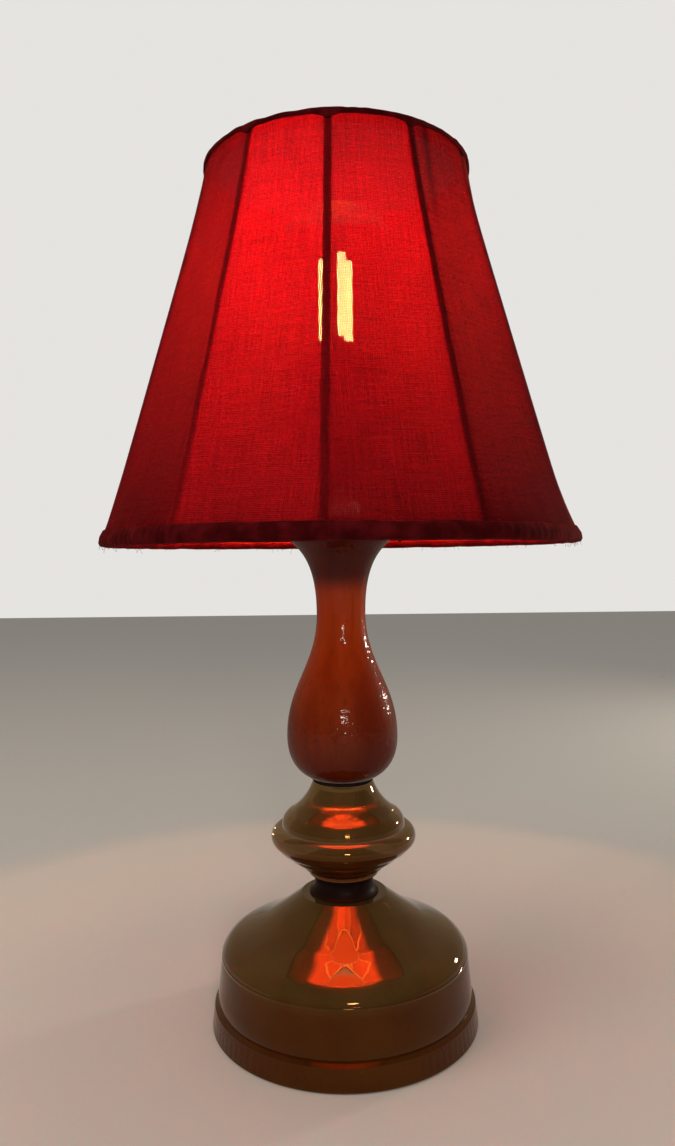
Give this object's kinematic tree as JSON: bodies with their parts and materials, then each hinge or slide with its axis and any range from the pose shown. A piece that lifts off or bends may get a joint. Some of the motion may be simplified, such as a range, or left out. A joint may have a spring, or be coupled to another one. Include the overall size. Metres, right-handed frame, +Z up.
{
  "type": "table lamp",
  "caption": "Table lamp with a smoked glass foot and knob, a turned wooden column and a red cloth shade sewn on a wire frame.",
  "frame": {"origin": "centre of the glass foot's underside", "axes": "+Z up along the column, +Y towards the cord inlet at the rear, +X to the lamp's right as seen from the front"},
  "size_m": [0.2202, 0.2202, 0.3981],
  "materials": {
    "smoked_glass": "smoked olive-brown, glossy",
    "rubber": "black rubber",
    "steel": "zinc plated steel",
    "brass": "plain brass",
    "collar_plastic": "nearly black, moulded",
    "varnished_wood": "reddish-brown stain under gloss varnish",
    "holder_plastic": "black moulded",
    "frame_wire": "wire bound with red tape",
    "shade_cloth": "thin red woven cloth",
    "binding_cloth": "dark red tape",
    "clear_glass": "clear, thin",
    "cap_metal": "pressed metal",
    "black_glass": "black insulating glass",
    "solder": "grey solder",
    "lead_wire": "bare wire",
    "filament": "yellow coated stick, lit"
  },
  "bodies": {
    "stand": {"glass_base": "smoked_glass", "cord_bush": "collar_plastic", "base_rubber_washer": "rubber", "base_steel_washer": "steel", "base_nut": "steel", "base_gasket": "rubber", "lower_collar": "collar_plastic", "knob_gasket": "rubber", "glass_knob": "smoked_glass", "wood_gasket": "rubber", "wood_column": "varnished_wood", "lamp_tube": "steel", "top_washer": "steel", "top_nut": "steel", "riser_sleeve": "brass", "holder_cap": "holder_plastic", "holder_grub_screw": "steel", "holder_insert": "holder_plastic", "holder_terminal_screws": "brass", "holder_centre_contact": "brass", "holder_side_contact": "brass", "holder_screw_shell": "brass", "holder_skirt": "holder_plastic"},
    "shade": {"shade_top_ring": "frame_wire", "shade_bottom_ring": "frame_wire", "shade_ribs": "frame_wire", "shade_fitter": "frame_wire", "shade_fabric": "shade_cloth", "shade_top_binding": "binding_cloth", "shade_hem": "binding_cloth"},
    "clamp": {"shade_ring": "holder_plastic"},
    "bulb": {"bulb_glass": "clear_glass", "bulb_cap": "cap_metal", "bulb_insulator": "black_glass", "bulb_contact": "solder", "bulb_stem": "clear_glass", "bulb_leads": "lead_wire", "bulb_filaments": "filament"}
  },
  "joints": [
    {"name": "shade_turn", "type": "hinge", "parent": "stand", "child": "shade", "pos_m": [0, 0, 0.2787], "axis": [0, 0, 1], "continuous": true},
    {"name": "clamp_turn", "type": "hinge", "parent": "stand", "child": "clamp", "pos_m": [0, 0, 0.2807], "axis": [0, 0, 1], "range_deg": [0, 900]},
    {"name": "bulb_turn", "type": "hinge", "parent": "stand", "child": "bulb", "pos_m": [0, 0, 0.2775], "axis": [0, 0, 1], "range_deg": [0, 990]}
  ]
}
